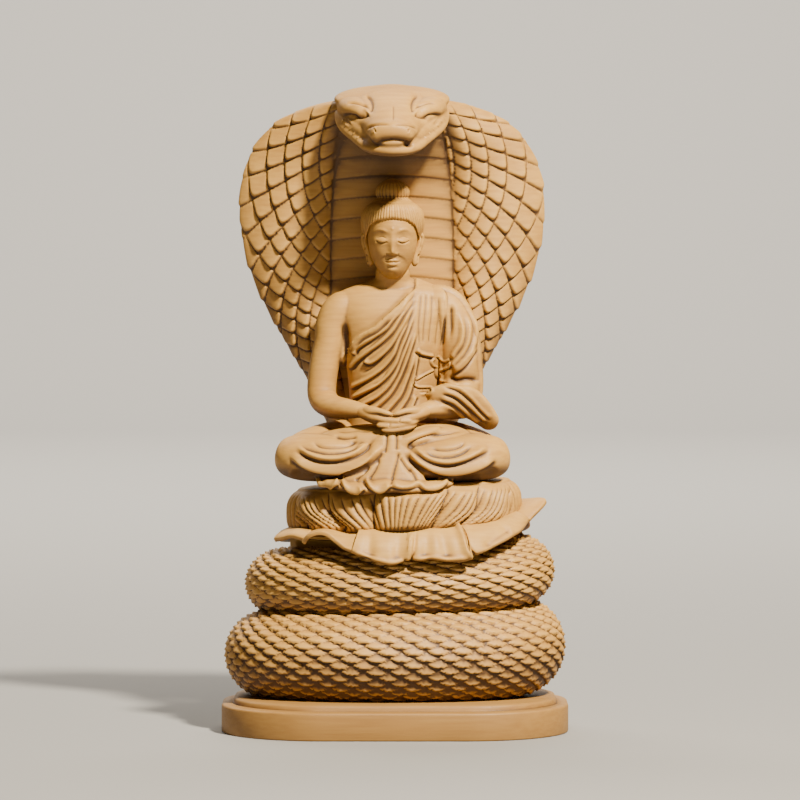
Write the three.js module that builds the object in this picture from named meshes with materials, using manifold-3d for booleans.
// Naga buddha: a figure in meditation on a gathered cushion, carried by the two coils of a cobra that rises
// behind it and spreads its hood over its head. The whole carving is one block of wood on a separate plinth.
// Millimetres, +Z up, the front towards -Y, the origin under the middle of the plinth.
import * as THREE from "three";
import { mergeVertices } from "three/addons/utils/BufferGeometryUtils.js";
import Module from "manifold-3d";

const { clamp, degToRad, lerp, smoothstep } = THREE.MathUtils;
const FULL_TURN = 2 * Math.PI;
const X_AXIS = new THREE.Vector3(1, 0, 0);
const Y_AXIS = new THREE.Vector3(0, 1, 0);
const Z_AXIS = new THREE.Vector3(0, 0, 1);

// Cobra's coils, outer sizes seen from above
const LOWER_COIL_WIDTH = 114.4;
const LOWER_COIL_DEPTH = 73;
const COIL_STEP_IN = 5.2; // the upper turn is this much smaller at each end
const COIL_STEP_BACK = 3.25; // and this much at the front and back
const LOWER_BODY_THICKNESS = 29; // of the body, across its path
const UPPER_BODY_THICKNESS = 26;
const LOWER_COIL_HEIGHT = 27.6; // at the low, left end
const UPPER_COIL_HEIGHT = 21.6;
const COIL_CLIMB = 4.4; // rise of each turn across the front, from left to right
const UPPER_COIL_SHIFT = 1.6; // the upper turn sits this far to the right
const SEAM_OVERLAP = 1; // depth by which the upper turn is let into the lower one
const FOOT_SINK = 1; // depth of the flat that the lower turn rests on

// Plinth
const PLINTH_MARGIN_SIDE = 0.55; // around the lower turn
const PLINTH_MARGIN_FRONT = 4.5;
const PLINTH_CORNER = 34;
const PLINTH_EDGE = 7.2; // plain upright edge under the moulding
const MOULDING_HEIGHT = 4.3;
const MOULDING_INSET = 5.5;
const EDGE_EASE = 0.6; // easing of the plain edge's corners

const PLINTH_WIDTH = LOWER_COIL_WIDTH + 2 * PLINTH_MARGIN_SIDE;
const PLINTH_DEPTH = LOWER_COIL_DEPTH + 2 * PLINTH_MARGIN_FRONT;
const PLINTH_TOP = PLINTH_EDGE + MOULDING_HEIGHT;
const COILS_TOP = PLINTH_TOP + LOWER_COIL_HEIGHT + UPPER_COIL_HEIGHT;

// Cushion and the cloth under it
const CUSHION_WIDTH = 80;
const CUSHION_DEPTH = 54;
const CUSHION_HEIGHT = 16.4;
const CUSHION_LIFT = 5.2; // from the coils' low, left top to the cushion, bridged by the core and the cloth
const CUSHION_RISE = 1.9; // how far its right end is above its middle
const CUSHION_BACK = -3.5; // its middle, seen from above
const CUSHION_SHIFT = 3;
const CUSHION_FLUTES = 29;
const FLUTE_DEPTH = 1.3;
const CLOTH_THICKNESS = 2;

// Seated figure, whose forms are shares of its own height
const FIGURE_HEIGHT = 101.7;
const FIGURE_SHIFT = -0.8;
const FIGURE_BACK = -2;
const FIGURE_SINK = 1.4; // depth by which it presses into the cushion

// Hood and head of the cobra, whose forms are shares of the rise from the coils to the crown
const CROWN_ABOVE_FIGURE = 33;
const HOOD_SHIFT = -1;
const HOOD_SCALE_ROWS = 14;
const HOOD_SCALE_COLUMNS = 4; // in each lobe
const HOOD_SCALE_RELIEF = 1.2;
const BELLY_PLATE_RELIEF = 0.5;
const BELLY_POINTS = 2; // of the mesh, from the belly's middle to its edge

const CUSHION_BOTTOM = COILS_TOP + CUSHION_LIFT;
const SEAT_TOP = CUSHION_BOTTOM + CUSHION_HEIGHT - FIGURE_SINK;
const FIGURE_UNIT = FIGURE_HEIGHT / 100;
const HOOD_RISE = SEAT_TOP + FIGURE_HEIGHT + CROWN_ABOVE_FIGURE - COILS_TOP;
const HOOD_UNIT = HOOD_RISE / 155;

const WOOD_COLOUR = 0xcda56e;
const PLINTH_COLOUR = 0xc49a62;
const WOOD_ROUGHNESS = 0.55;

const wasm = await Module();
wasm.setup();

// A three.js geometry as a solid with its faces pointing out
function solidOf(geometry) {
  const bare = geometry.clone();
  bare.deleteAttribute("normal");
  bare.deleteAttribute("uv");
  const merged = mergeVertices(bare);
  const vertProperties = new Float32Array(merged.getAttribute("position").array);
  const build = (triVerts) => new wasm.Manifold(new wasm.Mesh({ numProp: 3, vertProperties, triVerts }));
  const triVerts = new Uint32Array(merged.index.array);
  const made = build(triVerts);
  return made.volume() > 0 ? made : build(triVerts.reverse());
}

function geometryOf(solid) {
  const mesh = solid.getMesh();
  const geometry = new THREE.BufferGeometry();
  geometry.setAttribute("position", new THREE.BufferAttribute(new Float32Array(mesh.vertProperties), 3));
  geometry.setIndex(new THREE.BufferAttribute(new Uint32Array(mesh.triVerts), 1));
  geometry.computeVertexNormals();
  return geometry;
}

// A closed form with a pole at each end: place takes a share of a turn and a share of the length.
// Each cell is parted along the diagonal that starts at its own corner, unless that corner is raised.
function closedForm(ringPoints, rings, place, isRaised = () => false) {
  const geometry = new THREE.SphereGeometry(1, ringPoints, rings);
  const position = geometry.getAttribute("position");
  for (let i = 0; i < position.count; i++) {
    const column = i % (ringPoints + 1);
    const row = Math.floor(i / (ringPoints + 1));
    const point = place((column % ringPoints) / ringPoints, row / rings);
    position.setXYZ(i, point.x, point.y, point.z);
  }
  for (let row = 1; row < rings - 1; row++) {
    for (let column = 0; column < ringPoints; column++) {
      if (!isRaised(column, row)) continue;
      const corner = row * (ringPoints + 1) + column;
      const below = corner + ringPoints + 1;
      const at = 3 * ringPoints * (2 * row - 1) + 6 * column;
      [corner + 1, corner, below, corner + 1, below, below + 1].forEach((v, k) => geometry.index.setX(at + k, v));
    }
  }
  return solidOf(geometry);
}

// Rows of numbers joined by a smooth curve, read by a share of its length
function track(rows) {
  const last = rows.length - 1;
  return (share) => {
    const at = clamp(share, 0, 1) * last;
    const i = Math.min(Math.floor(at), last - 1);
    const t = at - i;
    const b = rows[i];
    const c = rows[i + 1];
    const a = rows[i - 1] ?? b.map((value, k) => 2 * value - c[k]);
    const d = rows[i + 2] ?? c.map((value, k) => 2 * value - b[k]);
    return b.map((value, k) => {
      const slope = c[k] - a[k];
      const bend = 2 * a[k] - 5 * value + 4 * c[k] - d[k];
      const twist = 3 * (value - c[k]) + d[k] - a[k];
      return value + 0.5 * t * (slope + t * (bend + t * twist));
    });
  };
}

// Half sizes are joined through their squares, so that an end of size 0 comes out round
function stationTrack(stations) {
  const read = track(stations.map(([x, y, z, width, height]) => [x, y, z, width ** 2, height ** 2]));
  return (share) => {
    const [x, y, z, width, height] = read(share);
    const centre = new THREE.Vector3(x, y, z);
    return { centre, width: Math.sqrt(Math.max(width, 0)), height: Math.sqrt(Math.max(height, 0)) };
  };
}

// A limb through stations [x, y, z, half width, half height]; side is the direction of its width
function limb(stations, ringPoints, rings, toPoint, side = X_AXIS, relief = () => 1) {
  const read = stationTrack(stations);
  const step = 0.01;
  return closedForm(ringPoints, rings, (around, along) => {
    const { centre, width, height } = read(along);
    const ahead = read(Math.min(along + step, 1)).centre;
    const run = ahead.sub(read(Math.max(along - step, 0)).centre).normalize();
    const across = side.clone().addScaledVector(run, -side.dot(run)).normalize();
    const upward = new THREE.Vector3().crossVectors(run, across);
    const angle = around * FULL_TURN;
    const swell = relief(angle, along);
    const point = centre.addScaledVector(across, width * swell * Math.cos(angle));
    return toPoint(point.addScaledVector(upward, height * swell * Math.sin(angle)));
  });
}

const union = (solids) => solids.reduce((whole, solid) => whole.add(solid));

// Outer shell of a block, without the small closed gaps that forms leave where they cross
function outerShell(solid) {
  return solid.decompose().reduce((largest, shell) => (shell.volume() > largest.volume() ? shell : largest));
}

// Plinth: a board with round corners and a stepped moulding round its top edge
function plinth() {
  const cornerSteps = 6;
  const profile = [
    [PLINTH_DEPTH / 2, 0],
    [EDGE_EASE, 0],
    [0, EDGE_EASE],
    [0, PLINTH_EDGE - EDGE_EASE],
    [EDGE_EASE, PLINTH_EDGE],
    [0.36 * MOULDING_INSET, PLINTH_EDGE + 0.16 * MOULDING_HEIGHT],
    [0.5 * MOULDING_INSET, PLINTH_EDGE + 0.42 * MOULDING_HEIGHT],
    [0.62 * MOULDING_INSET, PLINTH_EDGE + 0.46 * MOULDING_HEIGHT],
    [0.74 * MOULDING_INSET, PLINTH_EDGE + 0.86 * MOULDING_HEIGHT],
    [MOULDING_INSET, PLINTH_TOP],
    [PLINTH_DEPTH / 2, PLINTH_TOP],
  ];
  const ringPoints = 4 * cornerSteps;
  return closedForm(ringPoints, profile.length - 1, (around, along) => {
    const [inset, height] = profile[Math.round(along * (profile.length - 1))];
    if (along === 0 || along === 1) return new THREE.Vector3(0, 0, height);
    const index = Math.round(around * ringPoints);
    const quarter = Math.floor(index / cornerSteps);
    const angle = (quarter + (index % cornerSteps) / (cornerSteps - 1)) * (FULL_TURN / 4);
    const right = quarter === 0 || quarter === 3 ? 1 : -1;
    const back = quarter < 2 ? 1 : -1;
    const radius = PLINTH_CORNER - inset;
    return new THREE.Vector3(
      right * (PLINTH_WIDTH / 2 - PLINTH_CORNER) + radius * Math.cos(angle),
      back * (PLINTH_DEPTH / 2 - PLINTH_CORNER) + radius * Math.sin(angle),
      height,
    );
  });
}

// The cobra's body, by the angle along its path: 0 is right, 90 back, 180 left, 270 front, and so on upwards
const TAIL_TIP = 36;
const BODY_END = 770;
const UPPER_COIL_WIDTH = LOWER_COIL_WIDTH - 2 * COIL_STEP_IN;
const UPPER_COIL_DEPTH = LOWER_COIL_DEPTH - 2 * COIL_STEP_BACK;
const INNER_REACH = 8.5; // inside the centre line the body meets the block's core
const LOWER_MIDDLE = PLINTH_TOP + LOWER_COIL_HEIGHT / 2;
const UPPER_MIDDLE = PLINTH_TOP + LOWER_COIL_HEIGHT + UPPER_COIL_HEIGHT / 2;

const BODY_HEIGHTS = [
  // angle, height of the centre line, half height of the body
  [TAIL_TIP, PLINTH_TOP + 1.5, 0.6],
  [90, PLINTH_TOP + 6.4, 7],
  [140, PLINTH_TOP + 11, 12],
  [180, LOWER_MIDDLE, LOWER_COIL_HEIGHT / 2 + FOOT_SINK],
  [270, LOWER_MIDDLE + 0.3 * COIL_CLIMB, LOWER_COIL_HEIGHT / 2 + 0.3 * COIL_CLIMB + FOOT_SINK],
  [360, LOWER_MIDDLE + 0.62 * COIL_CLIMB, LOWER_COIL_HEIGHT / 2 + 0.4 * COIL_CLIMB],
  [450, lerp(LOWER_MIDDLE, UPPER_MIDDLE, 0.5), LOWER_COIL_HEIGHT / 2],
  [540, UPPER_MIDDLE - SEAM_OVERLAP, UPPER_COIL_HEIGHT / 2 + SEAM_OVERLAP],
  [630, UPPER_MIDDLE - SEAM_OVERLAP + 0.4 * COIL_CLIMB, UPPER_COIL_HEIGHT / 2 + SEAM_OVERLAP],
  [720, UPPER_MIDDLE - SEAM_OVERLAP + COIL_CLIMB, UPPER_COIL_HEIGHT / 2 + SEAM_OVERLAP],
  [BODY_END, COILS_TOP - 3.4, 10.6],
];

function readByAngle(rows, angle) {
  const next = rows.findIndex((row) => row[0] >= angle);
  const i = clamp(next, 1, rows.length - 1);
  const share = clamp((angle - rows[i - 1][0]) / (rows[i][0] - rows[i - 1][0]), 0, 1);
  const smooth = track(rows.map((row) => row.slice(1)));
  return smooth((i - 1 + share) / (rows.length - 1));
}

function bodyPoint(angle, turn) {
  const raised = smoothstep(angle, 360, 540);
  const thickness = lerp(LOWER_BODY_THICKNESS, UPPER_BODY_THICKNESS, raised) / 2;
  const taper = Math.pow(clamp((angle - TAIL_TIP) / (175 - TAIL_TIP), 0, 1), 0.7);
  const reach = thickness * taper;
  const [middle, halfHeight] = readByAngle(BODY_HEIGHTS, angle);
  const width = lerp(LOWER_COIL_WIDTH, UPPER_COIL_WIDTH, raised) / 2 - thickness;
  const depth = lerp(LOWER_COIL_DEPTH, UPPER_COIL_DEPTH, raised) / 2 - thickness;
  const bearing = degToRad(angle);
  const outward = new THREE.Vector3(Math.cos(bearing) / width, Math.sin(bearing) / depth, 0).normalize();
  const side = Math.cos(turn);
  const out = side > 0 ? side * reach : side * Math.min(reach, INNER_REACH);
  return new THREE.Vector3(
    UPPER_COIL_SHIFT * raised + width * Math.cos(bearing) + out * outward.x,
    depth * Math.sin(bearing) + out * outward.y,
    middle + halfHeight * Math.sin(turn),
  );
}

// One stretch of the body between two angles, with flat ends that its neighbours share
function bodyStretch(from, to) {
  const degreesPerRing = 20;
  const ringPoints = 12;
  const rings = Math.round((to - from) / degreesPerRing);
  return closedForm(ringPoints, rings + 2, (around, along) => {
    const ring = clamp(Math.round(along * (rings + 2)) - 1, 0, rings);
    const angle = lerp(from, to, ring / rings);
    if (along === 0 || along === 1) {
      const inner = bodyPoint(angle, FULL_TURN / 2);
      return inner.lerp(bodyPoint(angle, 0), 0.4);
    }
    return bodyPoint(angle, around * FULL_TURN);
  });
}

// The uncut middle of the block, inside the coils
function core() {
  const width = UPPER_COIL_WIDTH / 2 - UPPER_BODY_THICKNESS * 0.62;
  const depth = UPPER_COIL_DEPTH / 2 - UPPER_BODY_THICKNESS * 0.62;
  const geometry = new THREE.CylinderGeometry(1, 1, CUSHION_BOTTOM + 2, 16);
  geometry.rotateX(Math.PI / 2).scale(width, depth, 1);
  geometry.translate(UPPER_COIL_SHIFT / 2, 0, (CUSHION_BOTTOM + 2) / 2);
  return solidOf(geometry);
}

// Half of the block below the plinth's top, which cuts the flat that the carving rests on
function floorCut() {
  const deep = PLINTH_TOP + PLINTH_DEPTH;
  const geometry = new THREE.BoxGeometry(3 * PLINTH_WIDTH, 3 * PLINTH_DEPTH, deep);
  return solidOf(geometry.translate(0, 0, PLINTH_TOP - deep / 2));
}

function coils() {
  const breaks = [TAIL_TIP, 234, 432, 630, BODY_END];
  const stretches = breaks.slice(1).map((to, i) => bodyStretch(breaks[i], to));
  return union([...stretches, core()]);
}

// Cushion: a bolster of gathered cloth whose flutes lean away from its front lobe
const LOBES = [
  // bearing in degrees and how far each lobe swells
  [270, 1.7],
  [230, 1.2],
  [312, 1.2],
  [192, 1.2],
  [352, 1.2],
];
const LOBE_SPREAD = 15;
const FLUTE_LEAN = 0.34; // degrees of bearing for each degree from the middle of the front, top to bottom

const fromFront = (bearing) => ((bearing - 270 + 540) % 360) - 180;

function lobeSwell(bearing) {
  return LOBES.reduce((sum, [at, swell]) => {
    const gap = ((bearing - at + 540) % 360) - 180;
    return sum + swell * Math.exp(-((gap / LOBE_SPREAD) ** 2));
  }, 0);
}

const cushionTilt = (x) => (CUSHION_RISE * (x - CUSHION_SHIFT)) / (CUSHION_WIDTH / 2);

function cushion() {
  const profile = track([
    [0, 1],
    [0.8, 1.02],
    [0.95, 0.84],
    [1, 0.52],
    [0.96, 0.2],
    [0.84, 0],
    [0, 0],
  ]);
  const ringPoints = 2 * CUSHION_FLUTES;
  const rings = 6;
  return closedForm(ringPoints, rings, (around, along) => {
    const [reach, height] = profile(along);
    const front = fromFront(360 * around);
    const leaning = clamp(front, -75, 75) * Math.cos(degToRad(clamp(front, -90, 90)));
    const bearing = 360 * around + FLUTE_LEAN * leaning * (height - 0.5);
    const isFlute = Math.round(around * ringPoints) % 2 === 0 && along > 0.2 && along < 0.8;
    const proud = reach > 0 ? lobeSwell(bearing) + (isFlute ? FLUTE_DEPTH : 0) : 0;
    const x = CUSHION_SHIFT + ((CUSHION_WIDTH / 2 - 1) * reach + proud) * Math.cos(degToRad(bearing));
    return new THREE.Vector3(
      x,
      CUSHION_BACK + ((CUSHION_DEPTH / 2 - 1) * reach + proud) * Math.sin(degToRad(bearing)),
      CUSHION_BOTTOM + CUSHION_HEIGHT * height + cushionTilt(x),
    );
  });
}

// Edge of the cloth under the cushion: shares of the cushion's half width and half depth from its middle,
// and the height from the cushion's bottom
const CLOTH_EDGE = [
  [1.17, 0.25, 7],
  [1.06, -0.32, 5.4],
  [0.9, -0.72, 1.4],
  [0.66, -1, -3.2],
  [0.58, -1.06, -3.4],
  [0.56, -1.2, -7.6],
  [0.3, -1.24, -7.8],
  [0.06, -1.2, -6.4],
  [-0.14, -1.25, -8.4],
  [-0.4, -1.22, -7.4],
  [-0.44, -1.1, -4.4],
  [-0.6, -0.98, -3.6],
  [-0.82, -0.8, -1],
  [-1.08, -0.2, -0.6],
  [-1.02, 0.5, -3],
  [-0.6, 1.04, -4],
  [0, 1.12, -4],
  [0.6, 1.04, -4],
  [1.02, 0.7, 0.5],
  [1.17, 0.25, 7],
];

function clothSkirt() {
  const edge = track(CLOTH_EDGE);
  const reaches = [0, 0.6, 0.84, 1, 1, 0.8, 0];
  return closedForm(2 * (CLOTH_EDGE.length - 1), reaches.length - 1, (around, along) => {
    const row = Math.round(along * (reaches.length - 1));
    const reach = reaches[row];
    const [x, y, z] = edge(around);
    const under = row > 3 ? CLOTH_THICKNESS : 0;
    const fall = Math.pow(reach, 3);
    return new THREE.Vector3(
      CUSHION_SHIFT + (x * reach * CUSHION_WIDTH) / 2,
      CUSHION_BACK + (y * reach * CUSHION_DEPTH) / 2,
      CUSHION_BOTTOM + lerp(0.8, z, fall) - under,
    );
  });
}

// Seated figure, in hundredths of its height from the cushion's top
function figurePoint(point) {
  return new THREE.Vector3(
    FIGURE_SHIFT + FIGURE_UNIT * point.x,
    FIGURE_BACK + FIGURE_UNIT * point.y,
    SEAT_TOP + FIGURE_UNIT * point.z,
  );
}

const bodyPart = (stations, ringPoints, rings, side, relief) =>
  limb(stations, ringPoints, rings, figurePoint, side, relief);

const mirrored = (stations) => stations.map(([x, ...rest]) => [-x, ...rest]);

// Each station is x, y, z, half width, half depth
const TORSO = [
  [0, 1, -1, 0, 0],
  [0, 0, 2, 17, 13],
  [0, 0, 12, 15, 11.5],
  [0, 0.3, 22, 13.9, 9.9],
  [0, 0.6, 30, 13.5, 9.3],
  [0, 0.6, 38, 14.2, 9.5],
  [0, 0.6, 46, 15.5, 10.2],
  [0, 0.8, 52, 16.6, 10.1],
  [0, 1.2, 57, 18.2, 9.2],
  [0, 1.5, 60.6, 18, 7.8],
  [0, 1.6, 63.2, 15, 6.6],
  [0, 1.4, 65.4, 10.4, 5.8],
  [0, 0.8, 68, 6, 5.3],
  [0, 0, 71.6, 5.5, 5.2],
  [0, -1, 77, 0, 0],
];

const BARE_ARM = [
  [-10, 1.2, 58.4, 0, 0],
  [-16, 1.2, 57.4, 5.8, 5.4],
  [-19.4, 0.9, 53.6, 5.8, 5.6],
  [-20.6, 0.6, 48, 5.1, 5.3],
  [-22.1, 0.3, 41.6, 4.9, 5],
  [-23.1, 0, 35, 4.8, 4.7],
  [-22.9, -1.6, 29.6, 4.7, 4.5],
  [-20, -6.6, 27, 4.3, 3.9],
  [-15, -12.4, 26.4, 3.6, 3.3],
  [-9.6, -16.8, 26, 2.7, 2.3],
  [-5, -19.2, 25.4, 0, 0],
];

const SLEEVED_ARM = [
  [11, 1.2, 60, 0, 0],
  [16.4, 1.2, 58.4, 6.6, 5.8],
  [20.2, 0.9, 54, 6.4, 6.2],
  [21.6, 0.6, 48, 6.5, 6.5],
  [22.2, 0.4, 41, 6.5, 6.5],
  [22.6, 0, 34, 6.5, 6.3],
  [22.2, -1.8, 28.8, 5.9, 5.7],
  [19.6, -7.2, 27, 5, 4.4],
  [15.2, -12.4, 26.6, 3.9, 3.5],
  [10.4, -16.8, 26.2, 2.8, 2.4],
  [5.6, -19.2, 25.4, 0, 0],
];

// Hem of the sleeve, which falls from the left forearm over the knee
const SLEEVE_FALL = [
  [11, -13.4, 28.6, 0, 0],
  [15, -13.6, 27.4, 4.4, 2],
  [21, -12.4, 25.6, 6.6, 2.6],
  [27, -11.4, 22.6, 6, 2.6],
  [32, -11, 19.4, 3.6, 1.9],
  [35, -11, 17, 0, 0],
];

const THIGH = [
  [-2, 6, 12, 0, 0],
  [-9, 4.5, 12.6, 9, 9.4],
  [-18, -0.5, 12.8, 10.4, 9.2],
  [-26, -6, 11.8, 9.8, 8.2],
  [-31.6, -9.4, 10.8, 6.6, 6.4],
  [-35.4, -11.6, 10, 0, 0],
];

const SHIN = [
  [-37, -8.4, 10.8, 0, 0],
  [-34.8, -9.6, 10.6, 6.6, 6],
  [-29.4, -12.6, 10.6, 9.4, 7.6],
  [-21.4, -15.8, 10.4, 9.4, 7.6],
  [-12.6, -17.8, 9.8, 7.8, 6.6],
  [-4, -18.4, 8.8, 5.6, 5.2],
  [4, -17.6, 8, 0, 0],
];

const FOOT = [
  [0, -20.6, 14.4, 0, 0],
  [2.6, -20.8, 15.4, 2.6, 2],
  [7.4, -19.6, 17, 3.4, 2.5],
  [12.4, -17.4, 18.4, 3.2, 2.5],
  [17, -14.4, 19.4, 0, 0],
];

const PALMS = [
  [-10, -17.6, 25, 0, 0],
  [-7, -20.2, 23.6, 3.4, 2.1],
  [-2, -22, 22.6, 4.2, 2.1],
  [3, -22, 22.8, 4.2, 2.1],
  [8, -20.2, 23.9, 3.4, 2.1],
  [11, -17.4, 25.4, 0, 0],
];

const THUMBS = [
  [-8, -20.6, 24.4, 0, 0],
  [-4.8, -21.8, 25.1, 1.3, 1.1],
  [-1.2, -22.8, 25, 1, 0.9],
  [1.6, -22.8, 25, 1, 0.9],
  [5.2, -21.6, 25.3, 1.3, 1.1],
  [8.4, -20.4, 24.8, 0, 0],
];

// Pleated end of the robe between the shins, and its hem over the front of the cushion
const PLEAT = [
  [0.6, -20.4, 19, 0, 0],
  [0.2, -22.2, 17, 2.2, 1.2],
  [-1.4, -23.4, 11.6, 3.4, 1.6],
  [-2.4, -24.6, 5.6, 5, 1.8],
  [-2.6, -25.6, 1, 0, 0],
];

const HEM = [
  [-25, -20, 3.4, 0, 0],
  [-19, -22.8, 2.6, 3.4, 1.5],
  [-10, -26, 1.2, 3.8, 2.1],
  [-2, -26.6, 2, 3.8, 2.3],
  [7, -26, 1.4, 3.6, 2.1],
  [15, -23.4, 2.2, 3.2, 1.5],
  [20, -20.6, 2.8, 0, 0],
];

const HEAD = [
  [0, -8.6, 70.2, 0, 0],
  [0, -7.8, 71, 2.8, 3.4],
  [0, -5.8, 73, 5.3, 6.2],
  [0, -4, 76.4, 7.2, 8.2],
  [0, -3, 80.4, 8, 9.4],
  [0, -2.6, 85, 8.2, 9.9],
  [0, -2.4, 89.4, 7.5, 9],
  [0, -2.2, 92.6, 4.6, 5.6],
  [0, -2.2, 93.6, 0, 0],
];

const NOSE = [
  [0, -11.2, 83, 0, 0],
  [0, -12, 81.4, 0.8, 0.9],
  [0, -12.9, 78.4, 1.2, 1.2],
  [0, -13.2, 77, 1.6, 1.2],
  [0, -11.8, 76, 0, 0],
];

const EYELID = [
  [-5.4, -9, 81, 0, 0],
  [-3.6, -10.9, 81.1, 1.2, 0.9],
  [-1.5, -11, 80.9, 0, 0],
];

const LIPS = [
  [-2.6, -9.4, 74.3, 0, 0],
  [0, -10.6, 74, 1.2, 0.9],
  [2.6, -9.4, 74.3, 0, 0],
];

const HAIR = [
  [0, 5, 73.4, 0, 0],
  [0, 4, 75, 5.4, 4.6],
  [0, 2.6, 79, 8.8, 7.6],
  [0, 1, 83.4, 9.9, 9.2],
  [0, -0.2, 87.6, 10.3, 10.8],
  [0, -0.9, 90.8, 9.5, 11],
  [0, -1, 93.2, 7, 8.6],
  [0, -1, 94.8, 0, 0],
];

const TOPKNOT = [
  [0, -0.4, 92.6, 0, 0],
  [0, -0.4, 93.8, 4, 4],
  [0, -0.4, 96.6, 5.8, 5.8],
  [0, -0.4, 99, 4.2, 4.2],
  [0, -0.4, 100, 0, 0],
];

const EAR = [
  [-8.6, -1, 83.6, 0, 0],
  [-9.7, -1.2, 82, 1.1, 2],
  [-9.8, -1.2, 79.6, 1, 2],
  [-9, -1.4, 76, 0.9, 1.3],
  [-8.8, -1.6, 73.8, 1, 1.3],
  [-8.6, -1.6, 72.4, 0, 0],
];

const LOCKS = 12;
const LOCK_DEPTH = 0.025; // as a share of the head's half width
const hairRelief = (angle) => 1 + LOCK_DEPTH * Math.cos(LOCKS * angle);

// Station of a limb at a place along one axis, on which its stations follow each other
function stationAt(stations, axis, place) {
  const read = stationTrack(stations);
  let low = 0;
  let high = 1;
  while (high - low > 1e-4) {
    const middle = (low + high) / 2;
    if (read(middle).centre[axis] < place) low = middle;
    else high = middle;
  }
  return read(low);
}

const roundness = (offset, half) => Math.sqrt(Math.max(1 - (offset / half) ** 2, 0));

function torsoFront(x, z) {
  const { centre, width, height } = stationAt(TORSO, "z", z);
  return centre.y - height * roundness(x, width);
}

function shinFront(x, z) {
  const { centre, width, height } = stationAt(SHIN, "x", x);
  return centre.y - width * roundness(z - centre.z, height);
}

// A fold of cloth: a thin roll along a path, half sunk in what it lies on
const FOLD_SIDES = 3;
const FOLD_RINGS = 4;

function fold(path, halfWidth) {
  const stations = Array.from({ length: FOLD_RINGS + 1 }, (_, i) => {
    const { x, y, z } = path(i / FOLD_RINGS);
    const size = i > 0 && i < FOLD_RINGS ? halfWidth * lerp(0.7, 1.3, i / FOLD_RINGS) : 0;
    return [x, y, z, size, size];
  });
  return bodyPart(stations, FOLD_SIDES, FOLD_RINGS, new THREE.Vector3(0, -1, 0.2));
}

// Folds of the robe fan out from the left shoulder across the chest, and hang straight over the left breast
const CHEST_FOLDS = 5;
const CHEST_FOLD_START = [10.5, 65.6];
const CHEST_FOLD_BEARINGS = [41, 76]; // degrees below the line across the chest
const CHEST_SIDE = -13.4;
const CHEST_FOLD_SAG = 2.6;
const WAIST_LINE = 27;
const CHEST_FOLD_HALF_WIDTH = 1.3;
const SHOULDER_FOLDS = 2;
const SHOULDER_FOLD_HALF_WIDTH = 1.4;
const FOLD_SINK = 0.2;

function chestFold(index) {
  const bearing = degToRad(lerp(...CHEST_FOLD_BEARINGS, index / (CHEST_FOLDS - 1)));
  const [startX, startZ] = CHEST_FOLD_START;
  const toSide = (startX - CHEST_SIDE) / Math.cos(bearing);
  const length = Math.min(toSide, (startZ - WAIST_LINE) / Math.sin(bearing));
  return fold((share) => {
    const sag = CHEST_FOLD_SAG * Math.sin(Math.PI * share);
    const x = startX - length * share * Math.cos(bearing) - 0.3 * sag;
    const z = startZ - length * share * Math.sin(bearing) - sag;
    return new THREE.Vector3(x, torsoFront(x, z) + FOLD_SINK, z);
  }, CHEST_FOLD_HALF_WIDTH);
}

function shoulderFold(index) {
  const offset = index / (SHOULDER_FOLDS - 1);
  return fold((share) => {
    const x = lerp(10.6, 15.2, offset) + 0.8 * share;
    const z = lerp(63.4 - 2 * offset, 30, share);
    return new THREE.Vector3(x, torsoFront(x, z) + FOLD_SINK, z);
  }, SHOULDER_FOLD_HALF_WIDTH);
}

// Swags over each shin, hung from the knee to the middle one inside the other
const SWAGS = 3;
const SWAG_KNEE = -34.6;
const SWAG_MIDDLE = -5.6;
const SWAG_TOP = 14.6;
const SWAG_DEPTH = 9.4;
const SWAG_HALF_WIDTH = 1.1;

function swag(index, side) {
  const level = index / SWAGS;
  return fold((share) => {
    const x = lerp(SWAG_KNEE + 9 * level, SWAG_MIDDLE - level, share);
    const z = SWAG_TOP + level - SWAG_DEPTH * (1 - 0.8 * level) * Math.sqrt(Math.sin(Math.PI * share));
    return new THREE.Vector3(-side * x, shinFront(x, z) + FOLD_SINK, z);
  }, SWAG_HALF_WIDTH);
}

function figure() {
  const folds = [
    ...Array.from({ length: CHEST_FOLDS }, (_, i) => chestFold(i)),
    ...Array.from({ length: SHOULDER_FOLDS }, (_, i) => shoulderFold(i)),
    ...Array.from({ length: 2 * SWAGS }, (_, i) => swag(i % SWAGS, i < SWAGS ? -1 : 1)),
  ];
  return union([
    bodyPart(TORSO, 18, 13, X_AXIS),
    bodyPart(BARE_ARM, 8, 10, X_AXIS),
    bodyPart(SLEEVED_ARM, 8, 10, X_AXIS),
    bodyPart(SLEEVE_FALL, 6, 5, Y_AXIS),
    bodyPart(THIGH, 8, 5, Y_AXIS),
    bodyPart(mirrored(THIGH), 8, 5, Y_AXIS),
    bodyPart(SHIN, 10, 8, Y_AXIS),
    bodyPart(mirrored(SHIN), 10, 8, Y_AXIS),
    bodyPart(FOOT, 6, 5, Y_AXIS),
    bodyPart(PALMS, 6, 7, Y_AXIS),
    bodyPart(THUMBS, 4, 6, Y_AXIS),
    bodyPart(PLEAT, 5, 4, X_AXIS),
    bodyPart(HEM, 4, 8, Y_AXIS),
    bodyPart(HEAD, 12, 8, X_AXIS),
    bodyPart(NOSE, 5, 4, X_AXIS),
    bodyPart(EYELID, 4, 3, Y_AXIS),
    bodyPart(mirrored(EYELID), 4, 3, Y_AXIS),
    bodyPart(LIPS, 4, 3, Y_AXIS),
    bodyPart(HAIR, 2 * LOCKS, 6, X_AXIS, hairRelief),
    bodyPart(TOPKNOT, 8, 4, X_AXIS),
    bodyPart(EAR, 4, 5, X_AXIS),
    bodyPart(mirrored(EAR), 4, 5, X_AXIS),
    ...folds,
  ]);
}

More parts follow.
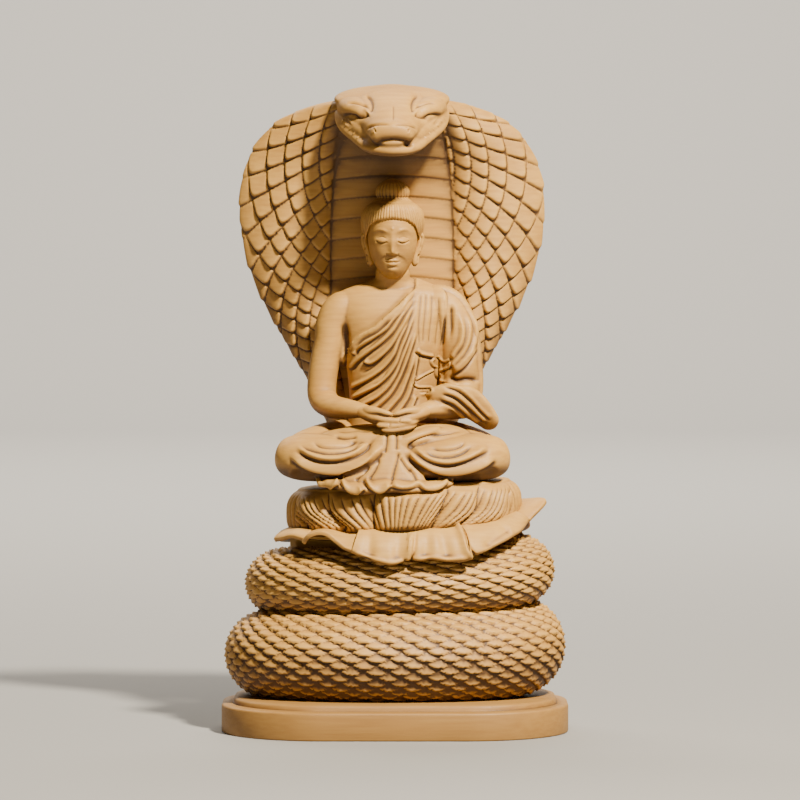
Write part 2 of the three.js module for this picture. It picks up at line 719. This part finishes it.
// Hood, by rows from its base in the coils up to the neck, measured from the coils' top:
// height and depth of its middle, half thickness there, half width of the belly, then the rim's x, height and depth
const HOOD_ROWS = [
  [2, 17.4, 10.4, 8, 15, 2, 17.4],
  [19, 17.2, 10, 10, 16, 18, 17.4],
  [36, 17.2, 9.4, 13, 19.5, 34, 17.4],
  [53, 17, 8.8, 16.5, 28, 54, 17.2],
  [65, 16.8, 8.2, 19, 36, 68, 16.6],
  [77, 16.3, 7.8, 20.5, 43.4, 81.5, 15.8],
  [88, 15.5, 7.4, 20.6, 48.6, 94.5, 14.8],
  [99, 14.4, 7, 20.6, 51.1, 108, 13.6],
  [110, 12.8, 6.8, 20.2, 50.8, 121.5, 12],
  [120, 10.4, 6.6, 19.4, 46.6, 133.4, 9.8],
  [129, 6.6, 6.8, 18, 39, 142, 6.8],
  [137, 1.4, 7.2, 16, 28.6, 147, 3],
  [144, -5, 7.4, 13, 18, 149.4, -3],
  [147, -11, 6, 10, 13, 150, -10],
];

// The body as it leaves the upper turn at the back and rises into the hood
const RISE = [
  [44, 4, -10, 0, 0],
  [37, 13, -8.6, 9.6, 9.4],
  [25, 19.4, -4, 10.6, 10.8],
  [13, 20.8, 5, 10.8, 12.4],
  [4.6, 19.2, 18, 10.2, 13.8],
  [0.6, 17.6, 33, 9.2, 14],
  [0, 17.2, 44, 0, 0],
];

const RIM_HALF_THICKNESS = 2.5;
const HOOD_BULGE = 4.5; // the lobes stand forward of the straight line from belly to rim

const HOOD_COLUMN_POINTS = 2 * HOOD_SCALE_COLUMNS; // points across the scales of one lobe
const HOOD_FRONT_POINTS = 2 * (HOOD_COLUMN_POINTS + BELLY_POINTS) + 1;
const HOOD_BACK_POINTS = 3;

// A point of the hood: across runs from -1 at the left rim to 1 at the right one
function hoodPoint(across, along, front, relief) {
  const [middle, depth, half, belly, rimX, rimZ, rimY] = track(HOOD_ROWS)(along);
  const share = Math.abs(across);
  const edge = belly / rimX;
  const lobe = clamp((share - edge) / (1 - edge), 0, 1);
  const spread = smoothstep(rimX, 16, 40);
  const rim = lerp(half, RIM_HALF_THICKNESS, spread);
  const round = Math.sqrt(Math.max(1 - share ** 4, 0));
  const thickness = lerp(half, rim, smoothstep(share, 0.1, 1)) * round;
  const bulge = HOOD_BULGE * spread * Math.sin(Math.PI * Math.pow(lobe, 0.8));
  return new THREE.Vector3(
    HOOD_SHIFT + HOOD_UNIT * across * rimX,
    HOOD_UNIT * (lerp(depth, rimY, share ** 2) - bulge - thickness * front) - relief * spread,
    COILS_TOP + HOOD_UNIT * lerp(middle, rimZ, share ** 1.5),
  );
}

// Points in the middle of a scale alternate with those on its edge
function isScaleMiddle(index, row) {
  const column = Math.abs(index - (HOOD_FRONT_POINTS - 1) / 2) - BELLY_POINTS;
  return column >= 0 && index < HOOD_FRONT_POINTS && (row + column) % 2 === 0;
}

// Lozenge scales on the lobes, whose corners and middles are the points of the net, and plates down the belly
function hood() {
  const rings = 2 * HOOD_SCALE_ROWS;
  const ringPoints = HOOD_FRONT_POINTS + HOOD_BACK_POINTS;
  return closedForm(ringPoints, rings, (around, along) => {
    const rowShare = clamp(along, 0.4 / rings, 1 - 0.4 / rings);
    if (along !== rowShare) return hoodPoint(0, rowShare, 0, 0);
    const row = Math.round(along * rings);
    const index = Math.round(around * ringPoints);
    if (index >= HOOD_FRONT_POINTS) {
      const back = (index - HOOD_FRONT_POINTS + 1) / (HOOD_BACK_POINTS + 1);
      return hoodPoint(Math.cos(Math.PI * back), along, -1, 0);
    }
    const fromMiddle = index - (HOOD_FRONT_POINTS - 1) / 2;
    const step = Math.abs(fromMiddle);
    const [, , , belly, rimX] = track(HOOD_ROWS)(along);
    const edge = belly / rimX;
    const column = step - BELLY_POINTS;
    const onLobe = Math.pow(Math.max(column, 0) / HOOD_COLUMN_POINTS, 1.25);
    const share = column < 0 ? (edge * step) / BELLY_POINTS : lerp(edge, 1, onLobe);
    const isScale = column > 0 && column < HOOD_COLUMN_POINTS && isScaleMiddle(index, row);
    const isPlate = column < 0 && row % 2 === 0;
    const relief = isScale ? HOOD_SCALE_RELIEF : isPlate ? BELLY_PLATE_RELIEF : 0;
    return hoodPoint(Math.sign(fromMiddle) * share, along, 1, relief);
  }, isScaleMiddle);
}

// Head of the cobra, from the neck forward and down to the snout, measured from the coils' top
const COBRA_HEAD = [
  [0, 6, 143, 0, 0],
  [0, 3, 144, 13, 8],
  [0, -4, 146, 16.4, 9.4],
  [0, -11, 144.6, 18.6, 9.4],
  [0, -18, 142.6, 17.6, 8.2],
  [0, -25, 140.6, 12.6, 6.4],
  [0, -31, 138.6, 8, 4.7],
  [0, -35.4, 137, 6.6, 3.7],
  [0, -37, 136.6, 0, 0],
];

const JAW = [
  [0, 2, 137, 0, 0],
  [0, -6, 138.6, 16, 6],
  [0, -16, 137, 15.4, 4.8],
  [0, -25, 134.4, 11, 3.4],
  [0, -31, 132.4, 5.6, 2.2],
  [0, -33.4, 132, 0, 0],
];

const BROW = [
  [-8.6, -23, 144.6, 0, 0],
  [-10.4, -20, 146.4, 4, 3.4],
  [-13.4, -14.6, 148, 5.8, 4],
  [-15.4, -8, 149, 5.2, 3.6],
  [-16.4, -3, 149.2, 0, 0],
];

const LIP = [
  [-20.4, -6, 144.4, 0, 0],
  [-17.4, -14, 139, 1.7, 1.7],
  [-13, -22, 135.4, 1.7, 1.8],
  [-7.4, -29.5, 132.2, 1.8, 1.8],
  [0, -33.4, 131.2, 1.9, 1.8],
  [7.4, -29.5, 132.2, 1.8, 1.8],
  [13, -22, 135.4, 1.7, 1.8],
  [17.4, -14, 139, 1.7, 1.7],
  [20.4, -6, 144.4, 0, 0],
];

function hoodFramePoint(point) {
  return new THREE.Vector3(
    HOOD_SHIFT + HOOD_UNIT * point.x,
    HOOD_UNIT * point.y,
    COILS_TOP + HOOD_UNIT * point.z,
  );
}

function cobraHead() {
  return union([
    limb(COBRA_HEAD, 12, 9, hoodFramePoint),
    limb(JAW, 10, 6, hoodFramePoint),
    limb(BROW, 8, 5, hoodFramePoint),
    limb(mirrored(BROW), 8, 5, hoodFramePoint),
    limb(LIP, 5, 10, hoodFramePoint, Z_AXIS),
  ]);
}

function carving() {
  const rise = limb(RISE, 10, 8, hoodFramePoint, Y_AXIS);
  const block = union([coils(), rise, cushion(), clothSkirt(), figure(), hood(), cobraHead()]);
  return outerShell(block.subtract(floorCut()));
}

function part(name, solid, colour) {
  const material = new THREE.MeshStandardMaterial({ color: colour, roughness: WOOD_ROUGHNESS, metalness: 0 });
  const mesh = new THREE.Mesh(geometryOf(solid), material);
  mesh.name = name;
  return mesh;
}

const nagaBuddha = new THREE.Group();
nagaBuddha.add(part("naga_buddha", carving(), WOOD_COLOUR), part("plinth", plinth(), PLINTH_COLOUR));

export default nagaBuddha;
